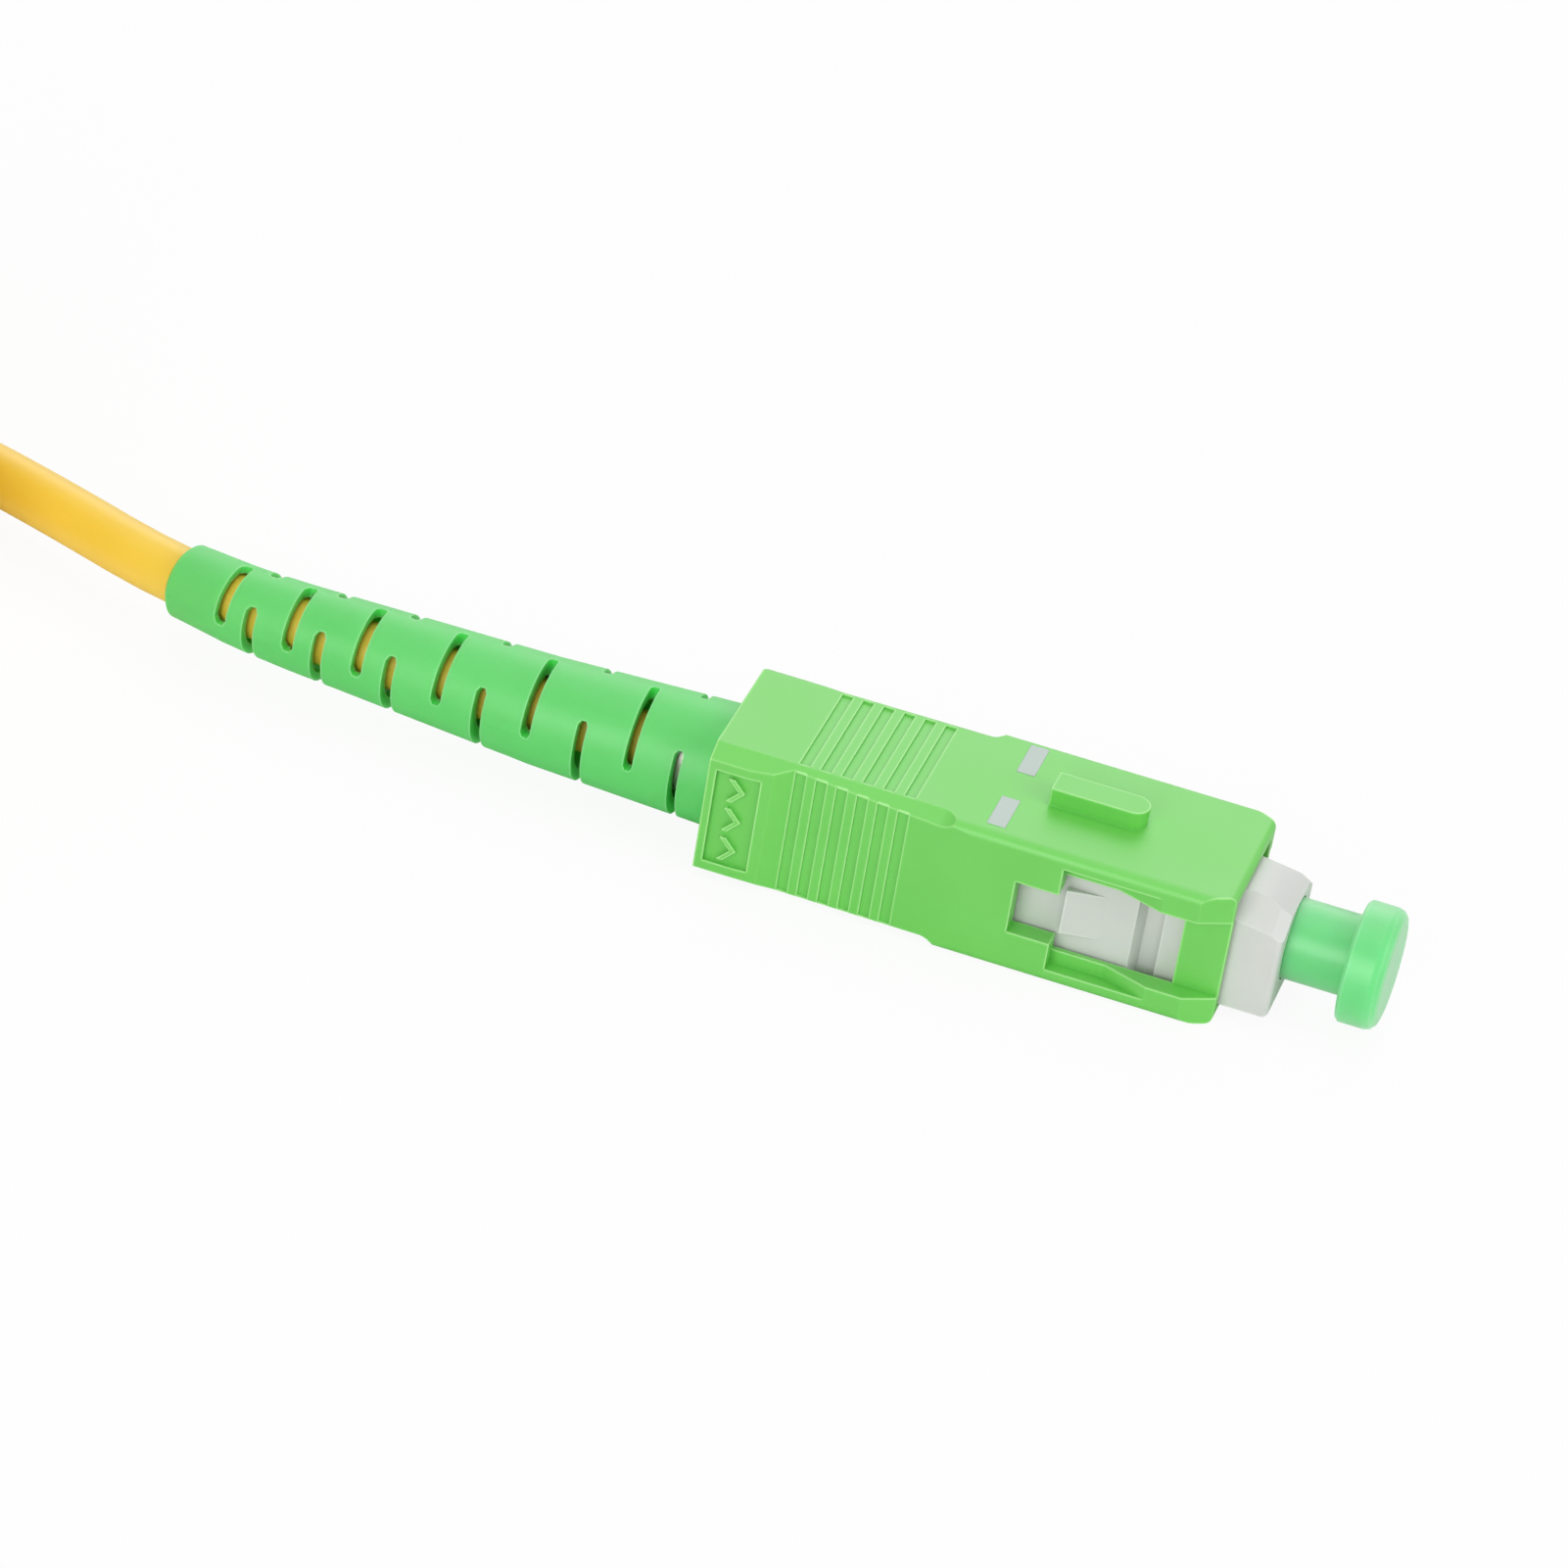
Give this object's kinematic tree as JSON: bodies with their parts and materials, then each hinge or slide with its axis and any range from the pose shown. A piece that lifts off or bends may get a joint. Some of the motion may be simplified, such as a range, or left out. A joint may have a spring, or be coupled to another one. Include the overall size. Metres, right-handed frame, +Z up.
{
  "type": "sc fibre connector",
  "caption": "Square push-pull plug for one optical fibre, with a keyed ribbed sleeve, latch windows, dust cap, slotted bend-relief boot and a tied coil of cable.",
  "frame": {"origin": "on the housing's flat underside, directly below the middle of the key", "axes": "+X towards the mating end along the ferrule, +Z up through the key, +Y to the plug's left when seen from behind"},
  "size_m": [0.112, 0.0365, 0.016],
  "materials": {
    "green_housing": "satin moulded",
    "green_boot": "satin elastomer",
    "clear_green_cap": "soft translucent",
    "white_frame": "satin moulded",
    "zirconia": "polished zirconia ceramic",
    "nickel": "nickel plated",
    "stop_metal": "nickel plated",
    "crimp_metal": "nickel plated",
    "spring_steel": "drawn wire",
    "glass_fibre": "clear",
    "buffer_white": "smooth",
    "aramid": "loose yarn",
    "yellow_jacket": "satin extruded",
    "tie_black": "hook and loop"
  },
  "bodies": {
    "plug_core": {"plug_frame": "white_frame", "ferrule_spring": "spring_steel", "spring_stop": "stop_metal", "crimp_ring": "crimp_metal", "boot": "green_boot", "aramid_yarn": "aramid", "cable_run": "yellow_jacket", "cable_coil": "yellow_jacket", "coil_tie": "tie_black"},
    "sleeve": {"outer_housing": "green_housing"},
    "ferrule_group": {"ferrule": "zirconia", "ferrule_flange": "nickel", "optical_fibre": "glass_fibre", "tight_buffer": "buffer_white"},
    "cap": {"dust_cap": "clear_green_cap"}
  },
  "joints": [
    {"name": "sleeve_pull", "type": "slide", "parent": "plug_core", "child": "sleeve", "axis": [1, 0, 0], "range_m": [-0.0018, 0]},
    {"name": "ferrule_float", "type": "slide", "parent": "plug_core", "child": "ferrule_group", "axis": [1, 0, 0], "range_m": [-0.001, 0], "stiffness_N_per_m": 1000, "springref_m": 0.008, "deforming": ["ferrule_spring"]},
    {"name": "cap_pull", "type": "slide", "parent": "plug_core", "child": "cap", "axis": [1, 0, 0], "range_m": [0, 0.014]}
  ]
}
